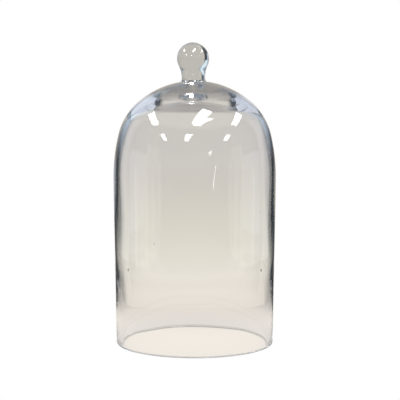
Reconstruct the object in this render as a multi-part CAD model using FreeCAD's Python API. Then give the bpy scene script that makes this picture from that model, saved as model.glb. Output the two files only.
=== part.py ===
"""Blown-glass bell jar dome: a heavy clear cloche with a solid ball knob welded on its crown.

Millimetres, +Z up. The origin is the centre of the ground rim, on the plane the dome stands on.
"""

import FreeCAD, Part
import math
import os

# Overall size
HEIGHT = 330.2              # 13 in, rim to the top of the knob
WIDEST_RADIUS = 177.8 / 2   # 7 in across at the widest ring
WIDEST_Z = 183.6

# Outer outline, from the mouth up: a slightly tapered side, then arcs that tighten round the
# shoulder and open out again over the crown. Angles are degrees up from level.
MOUTH_RADIUS = 86.3
SIDE_ARC = 2500.0
UPPER_ARC = 200.0
UPPER_END = 13.6
SHOULDER_ARC = 66.0
SHOULDER_END = 46.3

# Wall thickness: along the side by height above the rim, then round the shoulder and over the
# crown by the slope of the outer surface. The crown is a thick lens of glass.
SIDE_WALL = [(0.0, 6.0), (48.0, 5.0), (92.0, 3.4), (140.0, 4.9), (WIDEST_Z, 5.0)]
CROWN_WALL = [(UPPER_END, 5.0), (30.0, 5.1), (46.0, 6.7), (62.0, 10.0), (76.0, 12.2), (90.0, 12.7)]
RIM_ROUND = 1.6             # fire-polished edges either side of the ground face

# Knob: a gather of hot glass drawn to a neck and rounded to a ball, a little off the dome's axis
BALL_RADIUS = 17.5
NECK_RADIUS = 12.8
NECK_Z = 292.5
FOOT_RADIUS = 14.4
FLARE_ARC = 9.0
SHANK_Z = 281.0             # how far the gather reaches down before the crown trims it
KNOB_OFFSET = -1.3
KNOB_LEAN = -1.1            # degrees about Y, towards -X


def point(radius, z):
    return FreeCAD.Vector(radius, 0, z)


def on_arc(centre, radius, angle):
    """The point of an arc at an angle in degrees up from level."""
    turn = math.radians(angle)
    return point(centre.x + radius * math.cos(turn), centre.z + radius * math.sin(turn))


def arc(centre, radius, start, end):
    ends_and_middle = [on_arc(centre, radius, a) for a in (start, (start + end) / 2, end)]
    return Part.Arc(*ends_and_middle).toShape()


def line(start, end):
    return Part.LineSegment(start, end).toShape()


def revolve(edges):
    """A full turn about Z of the closed outline that the edges make."""
    face = Part.Face(Part.Wire(Part.sortEdges(edges)[0]))
    return face.revolve(FreeCAD.Vector(0, 0, 0), FreeCAD.Vector(0, 0, 1), 360)


def side_taper():
    """The side's lean in degrees, which joins the mouth to the widest ring's arc smoothly."""
    spread = WIDEST_RADIUS - MOUTH_RADIUS
    lean = (WIDEST_Z - math.sqrt(WIDEST_Z**2 - 2 * SIDE_ARC * spread)) / SIDE_ARC
    return math.degrees(lean)


def outer_arcs():
    """The outside's arcs from the side to the crown, each tangent to the next: centre, radius, angles."""
    side = point(WIDEST_RADIUS - SIDE_ARC, WIDEST_Z)
    upper = on_arc(side, SIDE_ARC - UPPER_ARC, 0)
    shoulder = on_arc(upper, UPPER_ARC - SHOULDER_ARC, UPPER_END)
    # the crown's arc is centred on the axis
    crown_arc = SHOULDER_ARC + shoulder.x / math.cos(math.radians(SHOULDER_END))
    crown = on_arc(shoulder, SHOULDER_ARC - crown_arc, SHOULDER_END)
    return [
        (side, SIDE_ARC, -side_taper(), 0),
        (upper, UPPER_ARC, 0, UPPER_END),
        (shoulder, SHOULDER_ARC, UPPER_END, SHOULDER_END),
        (crown, crown_arc, SHOULDER_END, 90),
    ]


def side_radius(z):
    """Radius of the outside at a height on the side."""
    centre, radius, start, _ = outer_arcs()[0]
    if z < on_arc(centre, radius, start).z:
        return MOUTH_RADIUS + z * math.tan(math.radians(side_taper()))
    return centre.x + math.sqrt(radius**2 - (z - WIDEST_Z) ** 2)


def under_crown(angle, wall):
    """The point a wall's thickness in from the outside, where the outside slopes at this angle."""
    for centre, radius, _, end in outer_arcs():
        if angle <= end:
            break
    return on_arc(centre, radius - wall, angle)


def dome_shell():
    """The blown shell, open at the mouth, with its rim ground flat and its edges fire-polished."""
    arcs = outer_arcs()
    mouth = point(MOUTH_RADIUS, 0)
    outer = [line(mouth, on_arc(*arcs[0][:3]))] + [arc(*each) for each in arcs]
    inner_points = [point(side_radius(z) - wall, z) for z, wall in SIDE_WALL]
    inner_points += [under_crown(angle, wall) for angle, wall in CROWN_WALL]
    inner = Part.BSplineCurve()
    inner.interpolate(
        Points=inner_points,
        InitialTangent=point(math.tan(math.radians(side_taper())), 1),
        FinalTangent=point(-1, 0),
    )
    crown_top = on_arc(arcs[-1][0], arcs[-1][1], 90)
    axis = line(crown_top, inner_points[-1])
    rim = line(inner_points[0], mouth)
    shell = revolve(outer + [axis, inner.toShape(), rim])
    rim_edges = [edge for edge in shell.Edges if edge.BoundBox.ZMax < 0.01 and edge.Length > 100]
    return shell.makeFillet(RIM_ROUND, rim_edges).Solids[0]


def knob_outline():
    """The knob's outline about its own axis: ball, concave neck, flared foot and a shank below it."""
    ball_centre = point(0, HEIGHT - BALL_RADIUS)
    # the neck's arc touches the ball from outside
    drop = ball_centre.z - NECK_Z
    neck_arc = (NECK_RADIUS**2 + drop**2 - BALL_RADIUS**2) / (2 * (BALL_RADIUS - NECK_RADIUS))
    neck_centre = point(NECK_RADIUS + neck_arc, NECK_Z)
    touch = math.degrees(math.atan2(drop, neck_centre.x))
    # the neck flares out into a foot, which goes on down as a shank
    flare_centre = point(NECK_RADIUS + FLARE_ARC, NECK_Z)
    flare_end = 360 - math.degrees(math.acos((FOOT_RADIUS - flare_centre.x) / FLARE_ARC))
    foot = on_arc(flare_centre, FLARE_ARC, flare_end)
    shank = point(FOOT_RADIUS, SHANK_Z)
    return [
        arc(ball_centre, BALL_RADIUS, 90, -touch),
        arc(neck_centre, neck_arc, 180 - touch, 180),
        arc(flare_centre, FLARE_ARC, 180, flare_end),
        line(foot, shank),
        line(shank, point(0, SHANK_Z)),
        line(point(0, SHANK_Z), point(0, HEIGHT)),
    ]


def knob(shell):
    """The knob set on the crown, trimmed to the crown's surface where the two were fused."""
    gather = revolve(knob_outline())
    gather.rotate(point(0, SHANK_Z), FreeCAD.Vector(0, 1, 0), KNOB_LEAN)
    gather.translate(point(KNOB_OFFSET, 0))
    return gather.cut(shell).Solids[0]


os.makedirs("parts", exist_ok=True)
dome = dome_shell()
dome.exportStep("parts/dome_shell.step")
knob(dome).exportStep("parts/knob.step")
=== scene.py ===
import math

import bmesh
import bpy
from mathutils import Matrix, Quaternion, Vector, noise


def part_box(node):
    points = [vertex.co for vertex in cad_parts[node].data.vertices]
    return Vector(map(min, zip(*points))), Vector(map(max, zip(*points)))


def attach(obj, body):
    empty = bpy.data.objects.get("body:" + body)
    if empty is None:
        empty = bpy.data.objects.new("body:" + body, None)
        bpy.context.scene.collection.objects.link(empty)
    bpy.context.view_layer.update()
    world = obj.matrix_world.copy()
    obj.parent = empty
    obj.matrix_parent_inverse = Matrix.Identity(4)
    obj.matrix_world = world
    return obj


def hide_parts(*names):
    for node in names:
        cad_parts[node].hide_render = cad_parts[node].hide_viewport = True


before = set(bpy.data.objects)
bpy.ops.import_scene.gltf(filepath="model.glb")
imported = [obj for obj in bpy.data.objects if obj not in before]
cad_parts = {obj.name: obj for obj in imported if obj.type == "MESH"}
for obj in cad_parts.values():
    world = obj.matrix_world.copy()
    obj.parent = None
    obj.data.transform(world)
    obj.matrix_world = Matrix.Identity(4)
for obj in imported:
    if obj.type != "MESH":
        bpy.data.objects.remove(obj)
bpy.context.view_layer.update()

# ---------------------------------------------------------------------------------------------
# Dome shell. A long bubble of clear soda-lime glass with most of its gather left thick in the
# crown. The mouth was cracked off the blowpipe, ground flat, and its two edges fire-polished.
shell_low, shell_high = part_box("dome_shell")
widest_radius = (shell_high[0] - shell_low[0]) / 2
crown_top = shell_high[2]
mouth_radius = widest_radius - 0.0026
widest_height = crown_top - 0.10518
side_arc, upper_arc, shoulder_arc = 2.5, 0.2, 0.066
upper_end, shoulder_end = math.radians(13.6), math.radians(46.3)
wall, rim_round = 0.0050, 0.0016
foot_radius, knob_shift = 0.0144, -0.0013
eased_from, eased_to = 0.042, 0.016
around = 256
straight_rows, widest_rows, upper_rows, shoulder_rows, crown_rows, weld_rows = 34, 8, 14, 30, 44, 8


def carry_on(mesh, tip, centre, turn, rows):
    """Draws an outline on from its tip, round a centre in the XZ plane. A positive turn goes up."""
    swept = bmesh.ops.spin(
        mesh, geom=tip, cent=(centre[0], 0, centre[1]), axis=(0, -1, 0), angle=turn, steps=rows
    )
    return swept["geom_last"]


def turn_round(mesh):
    """Turns the outline once about the dome's axis and closes its seam and poles."""
    bmesh.ops.spin(
        mesh, geom=mesh.verts[:] + mesh.edges[:], cent=(0, 0, 0), axis=(0, 0, 1),
        angle=math.tau, steps=around, use_merge=True,
    )
    bmesh.ops.remove_doubles(mesh, verts=mesh.verts, dist=1e-6)
    bmesh.ops.recalc_face_normals(mesh, faces=mesh.faces)
    lowest = min(mesh.verts, key=lambda v: v.co.z)
    mesh.normal_update()
    if lowest.normal.x * lowest.co.x + lowest.normal.y * lowest.co.y < 0:
        bmesh.ops.reverse_faces(mesh, faces=mesh.faces)
        mesh.normal_update()


spread = widest_radius - mouth_radius
taper = (widest_height - math.sqrt(widest_height**2 - 2 * side_arc * spread)) / side_arc
straight_top = widest_height - side_arc * math.sin(taper)
shell = bmesh.new()
tip = [shell.verts.new((mouth_radius, 0, 0))]
for _ in range(straight_rows):
    rise = straight_top / straight_rows
    tip = bmesh.ops.extrude_vert_indiv(shell, verts=tip)["verts"]
    bmesh.ops.translate(shell, verts=tip, vec=(rise * math.tan(taper), 0, rise))
tip = carry_on(shell, tip, (widest_radius - side_arc, widest_height), taper, widest_rows)
upper_centre = (widest_radius - upper_arc, widest_height)
tip = carry_on(shell, tip, upper_centre, upper_end, upper_rows)
reach = upper_arc - shoulder_arc
shoulder_centre = (
    upper_centre[0] + reach * math.cos(upper_end), upper_centre[1] + reach * math.sin(upper_end)
)
tip = carry_on(shell, tip, shoulder_centre, shoulder_end - upper_end, shoulder_rows)
crown_arc = shoulder_arc + shoulder_centre[0] / math.cos(shoulder_end)
crown_centre = shoulder_centre[1] - (crown_arc - shoulder_arc) * math.sin(shoulder_end)
foot_angle = math.acos(foot_radius / crown_arc)
tip = carry_on(shell, tip, (0, crown_centre), foot_angle - shoulder_end, crown_rows)
carry_on(shell, tip, (0, crown_centre), math.pi / 2 - foot_angle, weld_rows)
turn_round(shell)


def slide_under_knob(verts):
    """Moves the crown's innermost rings sideways over its surface, so that they lie round the knob."""
    for vert in verts:
        radius = vert.co.xy.length
        ease = min(1, max(0, (eased_from - radius) / (eased_from - eased_to)))
        vert.co.x += knob_shift * ease * ease * (3 - 2 * ease)
        vert.co.z = crown_centre + math.sqrt(crown_arc**2 - vert.co.xy.length_squared)


def side_wall(height):
    """Wall thickness up the side: fullest at the rim, drawn thin in a band above it."""
    thin_band, fade = 0.092, 0.03
    thinner, fuller = 0.0017, 0.0010
    in_band = math.exp(-(((height - thin_band) / fade) ** 2))
    return wall - thinner * in_band + fuller * math.exp(-height / fade)


def crown_wall(slope):
    """Wall thickness over the shoulder and crown, by the slope of the outer face in radians."""
    start, gain = 0.40, 0.0077
    share = max(0, (slope - start) / (math.pi / 2 - start))
    return wall + gain * share**3 * (share * (6 * share - 15) + 10)


def waver(verts, depth, size, seed):
    """Gives a blown surface its slow waves: depth is how far they reach, size is how long they are.

    They die out towards the ground rim and the knob's foot."""
    drawn_out = 0.6
    for vert in verts:
        where = Vector((vert.co.x, vert.co.y, vert.co.z * drawn_out)) / size
        above_rim = min(1, max(0, (vert.co.z - 0.003) / 0.03))
        clear_of_knob = min(1, max(0, (vert.co.xy.length - 0.016) / 0.02))
        wave = noise.noise(where + Vector((seed, seed, seed)))
        vert.co += vert.normal * depth * above_rim * clear_of_knob * wave


slide_under_knob([v for v in shell.verts if v.co.xy.length < eased_from])
outer_verts, outer_faces = shell.verts[:], shell.faces[:]
hollow = bmesh.ops.duplicate(shell, geom=shell.verts[:] + shell.edges[:] + shell.faces[:])["geom"]
hollow_verts = [g for g in hollow if isinstance(g, bmesh.types.BMVert)]
shell.normal_update()
for vert in hollow_verts:
    if vert.co.z < widest_height:
        vert.co -= Vector((vert.co.x, vert.co.y, 0)).normalized() * side_wall(vert.co.z)
    else:
        vert.co -= vert.normal * crown_wall(math.asin(min(1, vert.normal.z)))
waver(outer_verts, 0.00007, 0.045, 3.1)
waver(hollow_verts, 0.00030, 0.035, 7.7)
bmesh.ops.reverse_faces(shell, faces=[g for g in hollow if isinstance(g, bmesh.types.BMFace)])
bmesh.ops.bridge_loops(shell, edges=[e for e in shell.edges if e.is_boundary])
edge_rings = [
    e for e in shell.edges
    if all(v.co.z < 1e-6 for v in e.verts)
    and abs(e.verts[0].co.xy.length - e.verts[1].co.xy.length) < 1e-5
]
bmesh.ops.bevel(
    shell, geom=edge_rings, offset=rim_round, offset_type="OFFSET", segments=6, profile=0.5,
    affect="EDGES", material=-1,
)
knob_middle = Vector((knob_shift, 0))
for face in shell.faces:
    if all(v.co.z < rim_round + 1e-5 for v in face.verts):
        face.material_index = 1
for face in outer_faces:
    if face.is_valid and all((v.co.xy - knob_middle).length < foot_radius + 1e-5 for v in face.verts):
        face.material_index = 2


def seed(mesh, side, height, wide, tall):
    """Leaves a small drawn-out air bubble in the wall, side degrees round from the front. Its faces
    point into the bubble, away from the glass."""
    turn = math.radians(side - 90)
    middle = mouth_radius + height * math.tan(taper) - side_wall(height) / 2
    made = bmesh.ops.create_icosphere(mesh, subdivisions=2, radius=1)["verts"]
    bmesh.ops.scale(mesh, verts=made, vec=(wide * 0.6, wide / 2, tall / 2))
    bmesh.ops.rotate(mesh, verts=made, matrix=Matrix.Rotation(turn, 3, "Z"))
    bmesh.ops.translate(
        mesh, verts=made, vec=(middle * math.cos(turn), middle * math.sin(turn), height)
    )
    bmesh.ops.reverse_faces(mesh, faces=list({f for v in made for f in v.link_faces}))


# the seeds: degrees round from the front, height above the rim, width and length
seeds = [
    (-54.6, 0.0885, 0.0018, 0.0036), (54.6, 0.0882, 0.0018, 0.0036), (24, 0.118, 0.0006, 0.0012),
    (-98, 0.061, 0.0007, 0.0016), (118, 0.142, 0.0008, 0.0019), (161, 0.052, 0.0006, 0.0014),
    (-146, 0.104, 0.0008, 0.0022), (-171, 0.157, 0.0006, 0.0011), (84, 0.033, 0.0007, 0.0015),
]
for side, height, wide, tall in seeds:
    seed(shell, side, height, wide, tall)
dome_mesh = bpy.data.meshes.new("dome_shell_glass")
shell.to_mesh(dome_mesh)
shell.free()
for face in dome_mesh.polygons:
    face.use_smooth = True
dome = bpy.data.objects.new("dome_shell_glass", dome_mesh)
bpy.context.collection.objects.link(dome)


def handled_glass_group():
    """Shader group for handled glass: a faint haze of smudges, and the ripple left by the heat."""
    group = bpy.data.node_groups.new("handled_glass", "ShaderNodeTree")
    for name, start in (("Haze", 0.02), ("Smudge Scale", 14.0), ("Ripple Scale", 60.0)):
        socket = group.interface.new_socket(name, in_out="INPUT", socket_type="NodeSocketFloat")
        socket.default_value = start
    group.interface.new_socket("Roughness", in_out="OUTPUT", socket_type="NodeSocketFloat")
    group.interface.new_socket("Ripple", in_out="OUTPUT", socket_type="NodeSocketFloat")
    nodes, links = group.nodes, group.links
    given = nodes.new("NodeGroupInput")
    made = nodes.new("NodeGroupOutput")
    where = nodes.new("ShaderNodeTexCoord")
    smudge = nodes.new("ShaderNodeTexNoise")
    smudge.inputs["Detail"].default_value = 4
    smudge.inputs["Distortion"].default_value = 0.6
    links.new(where.outputs["Object"], smudge.inputs["Vector"])
    links.new(given.outputs["Smudge Scale"], smudge.inputs["Scale"])
    patches = nodes.new("ShaderNodeMapRange")
    patches.interpolation_type = "SMOOTHSTEP"
    patches.inputs["From Min"].default_value = 0.48
    patches.inputs["From Max"].default_value = 0.78
    links.new(smudge.outputs["Fac"], patches.inputs["Value"])
    haze = nodes.new("ShaderNodeMath")
    haze.operation = "MULTIPLY"
    links.new(patches.outputs["Result"], haze.inputs[0])
    links.new(given.outputs["Haze"], haze.inputs[1])
    links.new(haze.outputs["Value"], made.inputs["Roughness"])
    ripple = nodes.new("ShaderNodeTexNoise")
    ripple.inputs["Detail"].default_value = 1
    links.new(where.outputs["Object"], ripple.inputs["Vector"])
    links.new(given.outputs["Ripple Scale"], ripple.inputs["Scale"])
    links.new(ripple.outputs["Fac"], made.inputs["Ripple"])
    return group


handled_glass = handled_glass_group()


def glass(name, colour, haze, ripple_depth, clearness=1):
    """Soda-lime glass with smudges up to a roughness of haze and ripples that deep."""
    made = bpy.data.materials.new(name)
    made.use_nodes = True
    nodes, links = made.node_tree.nodes, made.node_tree.links
    bsdf = nodes["Principled BSDF"]
    bsdf.inputs["Base Color"].default_value = (*colour, 1)
    bsdf.inputs["Transmission Weight"].default_value = clearness
    bsdf.inputs["IOR"].default_value = 1.5
    handled = nodes.new("ShaderNodeGroup")
    handled.node_tree = handled_glass
    handled.inputs["Haze"].default_value = haze
    links.new(handled.outputs["Roughness"], bsdf.inputs["Roughness"])
    bump = nodes.new("ShaderNodeBump")
    bump.inputs["Distance"].default_value = ripple_depth
    links.new(handled.outputs["Ripple"], bump.inputs["Height"])
    links.new(bump.outputs["Normal"], bsdf.inputs["Normal"])
    return made


def painted_crown_shade(material, unshaded_colour, shaded_colour, start, end):
    """Paints shade into the glass: its colour goes from one colour to a darker one between two
    heights.
    """
    nodes, links = material.node_tree.nodes, material.node_tree.links
    where = nodes.new("ShaderNodeTexCoord")
    apart = nodes.new("ShaderNodeSeparateXYZ")
    links.new(where.outputs["Object"], apart.inputs["Vector"])
    depth = nodes.new("ShaderNodeMapRange")
    depth.interpolation_type = "SMOOTHSTEP"
    depth.inputs["From Min"].default_value = start
    depth.inputs["From Max"].default_value = end
    links.new(apart.outputs["Z"], depth.inputs["Value"])
    painted_shade_mix = nodes.new("ShaderNodeMix")
    painted_shade_mix.data_type = "RGBA"
    painted_shade_mix.inputs["A"].default_value = (*unshaded_colour, 1)
    painted_shade_mix.inputs["B"].default_value = (*shaded_colour, 1)
    links.new(depth.outputs["Result"], painted_shade_mix.inputs["Factor"])
    links.new(painted_shade_mix.outputs["Result"], nodes["Principled BSDF"].inputs["Base Color"])


blown_glass = glass("blown_glass", (1, 1, 1), 0.015, 0.00002)
# painted shade: the clear glass turns dark grey over the top of the crown
painted_crown_shade(
    blown_glass, (1.0, 1.0, 1.0), (0.37, 0.37, 0.38), crown_top - 0.0215, crown_top - 0.0115
)
ground_glass = glass("ground_rim_glass", (0.78, 0.78, 0.80), 0.4, 0.0002, clearness=0.8)
fused = bpy.data.materials.new("fused_joint")
fused.use_nodes = True
fused.node_tree.nodes.clear()
clear = fused.node_tree.nodes.new("ShaderNodeBsdfTransparent")
out = fused.node_tree.nodes.new("ShaderNodeOutputMaterial")
fused.node_tree.links.new(clear.outputs[0], out.inputs["Surface"])
for material in (blown_glass, ground_glass, fused):
    dome_mesh.materials.append(material)
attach(dome, "root")
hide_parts("dome_shell")

# ---------------------------------------------------------------------------------------------
# Knob. A second gather dropped hot on the crown, drawn up to a neck and turned into a solid ball.
# It was set a little off the axis and leans the same way. Its foot is fused to the crown.
knob_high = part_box("knob")[1]
ball_radius, neck_radius, neck_height, flare_arc = 0.0175, 0.0128, 0.2925, 0.009
knob_lean = math.radians(-1.1)
groove_height, groove_depth, groove_half_width = 0.2897, 0.0003, 0.0013
ball_rows, neck_rows, flare_rows = 60, 16, 24
ball_height = knob_high[2] - ball_radius
drop = ball_height - neck_height
neck_arc = (neck_radius**2 + drop**2 - ball_radius**2) / (2 * (ball_radius - neck_radius))
touch = math.atan2(drop, neck_radius + neck_arc)
foot_height = crown_centre + math.sqrt(crown_arc**2 - foot_radius**2)
flare_turn = math.acos(1 - (foot_radius - neck_radius) / flare_arc)
gather = bmesh.new()
tip = [gather.verts.new((0, 0, knob_high[2]))]
tip = carry_on(gather, tip, (0, ball_height), -math.pi / 2 - touch, ball_rows)
tip = carry_on(gather, tip, (neck_radius + neck_arc, neck_height), touch, neck_rows)
tip = carry_on(gather, tip, (neck_radius + flare_arc, neck_height), flare_turn, flare_rows)
tip[0].co = (foot_radius, 0, foot_height)
carry_on(gather, tip, (0, crown_centre), math.pi / 2 - foot_angle, weld_rows)
turn_round(gather)
for vert in gather.verts:
    from_groove = min(1, abs(vert.co.z - groove_height) / groove_half_width)
    if vert.co.z > foot_height:
        vert.co.xy *= 1 - groove_depth / neck_radius * (1 - from_groove**2) ** 2


def on_crown(vert):
    """Whether a point of the knob lies on the crown's surface, within the foot."""
    from_centre = (vert.co - Vector((0, 0, crown_centre))).length
    return abs(from_centre - crown_arc) < 1e-6 and vert.co.xy.length < foot_radius + 1e-6


fused_verts = {v for v in gather.verts if on_crown(v)}
slide_under_knob(fused_verts)
for vert in gather.verts:
    if vert not in fused_verts:
        vert.co.x += knob_shift + math.tan(knob_lean) * (vert.co.z - foot_height)
for face in gather.faces:
    if all(v in fused_verts for v in face.verts):
        face.material_index = 1
for edge in gather.edges:
    kinds = {f.material_index for f in edge.link_faces}
    edge.smooth = len(kinds) == 1
bmesh.ops.recalc_face_normals(gather, faces=gather.faces)
knob_mesh = bpy.data.meshes.new("ball_knob")
gather.to_mesh(knob_mesh)
gather.free()
for face in knob_mesh.polygons:
    face.use_smooth = True
knob = bpy.data.objects.new("ball_knob", knob_mesh)
bpy.context.collection.objects.link(knob)
knob_mesh.materials.append(glass("knob_glass", (0.86, 0.87, 0.86), 0.015, 0.00001))
knob_mesh.materials.append(fused)
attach(knob, "root")
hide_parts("knob")

# ---------------------------------------------------------------------------------------------
# Studio. The camera looks slightly down at the dome, which stands on a pale floor. A warm card,
# glowing with painted light, stands behind it and lamps hang round it. The camera sees these only in
# the glass.
# They are fixed to the camera, as on a rig, so that every view has the same light.
camera_data = bpy.data.cameras.new("camera")
camera_data.lens = 128
camera_data.shift_x = 0.0133
camera_data.clip_start = 0.05
camera = bpy.data.objects.new("camera", camera_data)
camera.location = (0, -1.553, 0.325)
camera.rotation_euler = (math.radians(90 - 6.13), 0, 0)
bpy.context.collection.objects.link(camera)
bpy.context.scene.camera = camera
bpy.context.view_layer.update()
bpy.context.scene.view_settings.view_transform = "Standard"
light_paths = bpy.context.scene.cycles
light_paths.max_bounces = 40
light_paths.transmission_bounces = 40
light_paths.glossy_bounces = 40
light_paths.transparent_max_bounces = 16
light_paths.sample_clamp_indirect = 0


def curve_of(nodes, links, value, stops):
    """A colour that changes along a value, through (value, colour) stops."""
    low, high = stops[0][0], stops[-1][0]
    spread_out = nodes.new("ShaderNodeMapRange")
    spread_out.inputs["From Min"].default_value = low
    spread_out.inputs["From Max"].default_value = high
    links.new(value, spread_out.inputs["Value"])
    ramp = nodes.new("ShaderNodeValToRGB")
    ramp.color_ramp.interpolation = "LINEAR"
    points = ramp.color_ramp.elements
    while len(points) < len(stops):
        points.new(0.5)
    for place, (at, colour) in zip(points, stops):
        place.position = (at - low) / (high - low)
        place.color = (*colour, 1)
    links.new(spread_out.outputs["Result"], ramp.inputs["Fac"])
    return ramp.outputs["Color"]


def glowing(name):
    """A plain glowing material, and its nodes, links and emission node."""
    made = bpy.data.materials.new(name)
    made.use_nodes = True
    nodes, links = made.node_tree.nodes, made.node_tree.links
    nodes.clear()
    glow = nodes.new("ShaderNodeEmission")
    out = nodes.new("ShaderNodeOutputMaterial")
    links.new(glow.outputs["Emission"], out.inputs["Surface"])
    return made, nodes, links, glow


def white_straight_on(nodes, links, in_the_glass):
    """Plain white where the camera looks straight at it, and another colour in the glass."""
    straight_on = nodes.new("ShaderNodeLightPath")
    either = nodes.new("ShaderNodeMix")
    either.data_type = "RGBA"
    links.new(straight_on.outputs["Is Camera Ray"], either.inputs["Factor"])
    links.new(in_the_glass, either.inputs["A"])
    either.inputs["B"].default_value = (1, 1, 1, 1)
    return either.outputs["Result"]


def rectangle(name, across, up):
    """A flat panel of that size, face up, centred on the origin."""
    flat = bmesh.new()
    bmesh.ops.create_grid(flat, x_segments=1, y_segments=1, size=0.5)
    bmesh.ops.scale(flat, verts=flat.verts, vec=(across, up, 1))
    mesh = bpy.data.meshes.new(name)
    flat.to_mesh(mesh)
    flat.free()
    panel = bpy.data.objects.new(name, mesh)
    bpy.context.collection.objects.link(panel)
    return panel


def fix_to_camera(panel, place, facing, roll=0.0):
    """Puts a panel in its place, turned to face a point, and lets it go where the camera goes."""
    way = (Vector(facing) - Vector(place)).normalized()
    turn = way.to_track_quat("Z", "Y") @ Quaternion((0, 0, 1), roll)
    panel.matrix_world = Matrix.LocRotScale(Vector(place), turn, None)
    panel.parent = camera
    panel.matrix_parent_inverse = camera.matrix_world.inverted()
    panel.visible_camera = False


floor = rectangle("floor", 8, 8)
floor.location = (0, 0, -0.0004)
floor_glow, nodes, links, glow = glowing("pale_floor_painted_shadow")
where = nodes.new("ShaderNodeTexCoord")
out_from_dome = nodes.new("ShaderNodeVectorMath")
out_from_dome.operation = "LENGTH"
links.new(where.outputs["Object"], out_from_dome.inputs[0])
# seen in the glass, the floor glows greige as a painted pool of light round the dome, has a painted
# contact shadow in a dark ring under the rim, and fades to painted shade, near black, farther out
in_the_glass = curve_of(nodes, links, out_from_dome.outputs["Value"], [
    (0.0, (0.90, 0.846, 0.775)), (0.079, (0.88, 0.83, 0.76)), (0.083, (0.20, 0.20, 0.21)),
    (0.088, (0.20, 0.20, 0.21)), (0.094, (0.76, 0.72, 0.69)), (0.14, (0.79, 0.745, 0.69)),
    (0.19, (0.82, 0.765, 0.695)), (0.30, (0.035, 0.043, 0.050)),
])
links.new(white_straight_on(nodes, links, in_the_glass), glow.inputs["Color"])
floor.data.materials.append(floor_glow)

card = rectangle("card", 0.32, 0.42)
card_glow, nodes, links, glow = glowing("card_painted_light")
where = nodes.new("ShaderNodeTexCoord")
apart = nodes.new("ShaderNodeSeparateXYZ")
links.new(where.outputs["Object"], apart.inputs["Vector"])
# painted light: the card glows, lightest near its foot and darker upward, and fades to painted shade,
# near black, at both sides
painted_light_upward = curve_of(nodes, links, apart.outputs["Y"], [
    (-0.180, (0.84, 0.785, 0.71)), (-0.143, (0.92, 0.87, 0.78)), (-0.100, (0.87, 0.826, 0.726)),
    (-0.062, (0.78, 0.745, 0.654)), (-0.018, (0.71, 0.667, 0.608)), (0.019, (0.655, 0.62, 0.57)),
    (0.210, (0.64, 0.606, 0.555)),
])
sideways = nodes.new("ShaderNodeMath")
sideways.operation = "ABSOLUTE"
links.new(apart.outputs["X"], sideways.inputs[0])
painted_side_shade = curve_of(nodes, links, sideways.outputs["Value"], [
    (0.117, (1, 1, 1)), (0.150, (0.05, 0.06, 0.08)),
])
shaded = nodes.new("ShaderNodeMix")
shaded.data_type = "RGBA"
shaded.blend_type = "MULTIPLY"
shaded.inputs["Factor"].default_value = 1
links.new(painted_light_upward, shaded.inputs["A"])
links.new(painted_side_shade, shaded.inputs["B"])
links.new(shaded.outputs["Result"], glow.inputs["Color"])
card.data.materials.append(card_glow)
fix_to_camera(card, (0, 0.20, 0.18), (0, -1.553, 0.3683))


def plain_panel(name, place, facing, size, roll, colour, strength):
    """A panel of one colour and strength, fixed to the camera. Gives the panel back."""
    panel = rectangle(name, *size)
    panel_glow, _, _, glow = glowing(name + "_glow")
    glow.inputs["Color"].default_value = (*colour, 1)
    glow.inputs["Strength"].default_value = strength
    panel.data.materials.append(panel_glow)
    fix_to_camera(panel, place, facing, math.radians(roll))
    return panel


# the ceiling's lamps: where each hangs, its width and length, and how far it is turned; all of them
# shine on the outside of the glass, and only the second is seen through it as well
ceiling = 1.45
lamps = [
    (-1.30, -0.03, 0.33, 0.92, 20), (0.175, -0.58, 0.29, 0.88, 18), (1.335, -0.01, 0.33, 0.92, -20),
    (-2.14, -1.88, 0.38, 1.13, 28), (-0.45, -2.48, 0.38, 1.15, 19), (2.28, -1.90, 0.40, 1.05, -27),
]
for number, (x, y, across, along, turn) in enumerate(lamps):
    lamp = plain_panel(
        f"lamp_{number}", (x, y, ceiling), (x, y, 0), (across, along), turn, (1, 1, 1), 16
    )
    lamp.visible_transmission = number == 1
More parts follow.
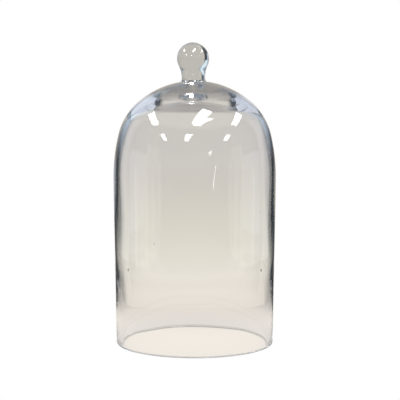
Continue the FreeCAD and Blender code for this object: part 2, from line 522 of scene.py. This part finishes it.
# two slits of light from the room behind the camera
for name, place, size, turn in (
    ("slit", (0.717, -1.414, 0.19), (0.03, 0.36), 18), ("gap", (0.58, -1.47, 0.595), (0.15, 0.06), -20)
):
    slit = plain_panel(name, place, (0, 0, 0.19), size, turn, (1, 1, 1), 9)
    slit.visible_transmission = False
# side lights, pale sky at both sides that is seen through the glass and not in its shine, and a small
# card, glowing with painted light, and a window behind the knob
warm_painted_light, sky, pale = (0.62, 0.59, 0.54), (0.86, 1.02, 1.12), (0.66, 0.70, 0.80)
window_white, lamp_white = (1.0, 0.98, 0.95), (1.0, 0.97, 0.92)
for name, side in (("left", -1), ("right", 1)):
    plain_panel(
        f"low_{name}", (side * 0.58, -0.155, 0.08), (0, 0, 0.08), (0.27, 0.22), 0, lamp_white, 0.4
    )
    plain_panel(
        f"strip_{name}", (side * 0.60, -0.05, 0.10), (0, 0, 0.10), (0.03, 0.26), 0, window_white, 0.8
    )
    sky_panel = plain_panel(
        f"sky_{name}", (side * 0.8, 0.04, 0.36), (0, 0, 0.30), (1.2, 0.76), 0, pale, 1
    )
    sky_panel.visible_glossy = False
plain_panel("knob_painted_light_card", (0.017, 0.034, 0.329), (0.017, -1.0, 0.329), (0.047, 0.088), 0, warm_painted_light, 1)
plain_panel("knob_window", (-0.15, 0.19, 0.40), (0, 0, 0.31), (0.11, 0.15), 0, sky, 1)

room = bpy.data.worlds.new("room")
room.use_nodes = True
bpy.context.scene.world = room
nodes, links = room.node_tree.nodes, room.node_tree.links
where = nodes.new("ShaderNodeTexCoord")
apart = nodes.new("ShaderNodeSeparateXYZ")
links.new(where.outputs["Generated"], apart.inputs["Vector"])
walls = curve_of(nodes, links, apart.outputs["Z"], [
    (-0.25, (0.030, 0.036, 0.043)), (-0.03, (0.038, 0.045, 0.053)), (0.02, (0.11, 0.13, 0.16)),
    (0.07, (0.25, 0.30, 0.36)), (0.20, (0.43, 0.52, 0.64)), (0.45, (0.42, 0.50, 0.62)),
    (1.0, (0.30, 0.34, 0.40)),
])
links.new(white_straight_on(nodes, links, walls), nodes["Background"].inputs["Color"])
